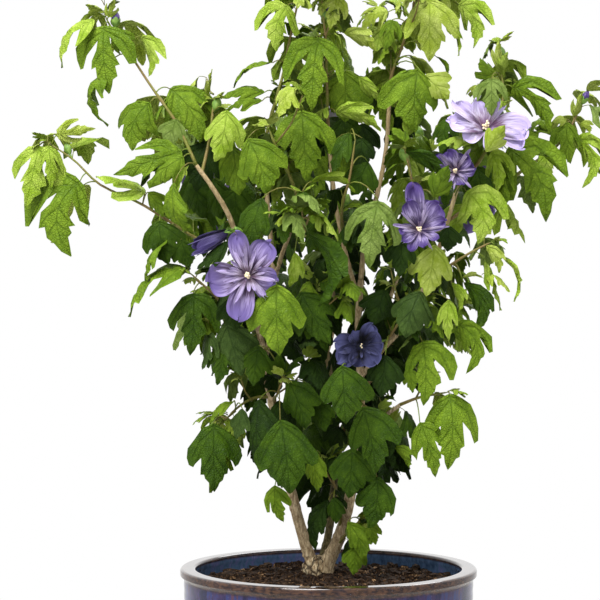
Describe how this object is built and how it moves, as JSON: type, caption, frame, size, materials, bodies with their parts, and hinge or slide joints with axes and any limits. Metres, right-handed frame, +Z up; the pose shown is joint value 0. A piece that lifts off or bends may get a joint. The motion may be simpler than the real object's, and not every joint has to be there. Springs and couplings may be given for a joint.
{
  "type": "potted hibiscus shrub",
  "caption": "Open, vase-shaped shrub on a short trunk with rough bark, lobed drooping leaves and violet semi-double flowers, in a round glazed pot filled with soil.",
  "frame": {"origin": "centre of the pot's flat underside", "axes": "+Z up along the pot's axis, -Y towards the front of the crown, +X to the right as seen from the front"},
  "size_m": [0.6841, 0.4683, 1.0093],
  "materials": {
    "glaze": "glossy deep blue glaze with a brown break on the rim",
    "soil": "dark crumbly potting soil",
    "bark": "rough pale bark",
    "foliage": "soft matt leaves and violet petals"
  },
  "bodies": {
    "root": {"pot": "glaze", "soil": "soil", "trunk": "bark", "stem_left": "bark", "stem_right": "bark", "stem_back": "bark", "bough_left": "bark", "bough_tall_left": "bark", "bough_centre_left": "bark", "bough_tall_right": "bark", "bough_mid_top": "bark", "bough_right": "bark", "bough_low_right": "bark", "bough_back_left": "bark", "bough_back_mid": "bark", "bough_back_right": "bark", "spray_far_left": "foliage", "spray_upper_left": "foliage", "mass_mid_left": "foliage", "mass_left_top": "foliage", "spray_tall_left": "foliage", "mass_centre_left": "foliage", "mass_mid_top": "foliage", "mass_tall_right": "foliage", "mass_right_top": "foliage", "spray_far_right": "foliage", "mass_right_mid": "foliage", "mass_right_inner": "foliage", "mass_centre": "foliage", "mass_centre_inner": "foliage", "mass_low_right": "foliage", "mass_right_low_inner": "foliage", "mass_foot_right": "foliage", "mass_foot_left": "foliage", "mass_low_left": "foliage", "mass_left_mid": "foliage", "mass_flower_left": "foliage", "mass_centre_low": "foliage", "spray_foot": "foliage", "spray_sucker": "foliage", "mass_foot_back": "foliage", "mass_back_left_low": "foliage", "mass_back_left": "foliage", "mass_back_low": "foliage", "mass_back_top": "foliage", "mass_back_right": "foliage", "mass_back_right_low": "foliage"}
  },
  "joints": []
}
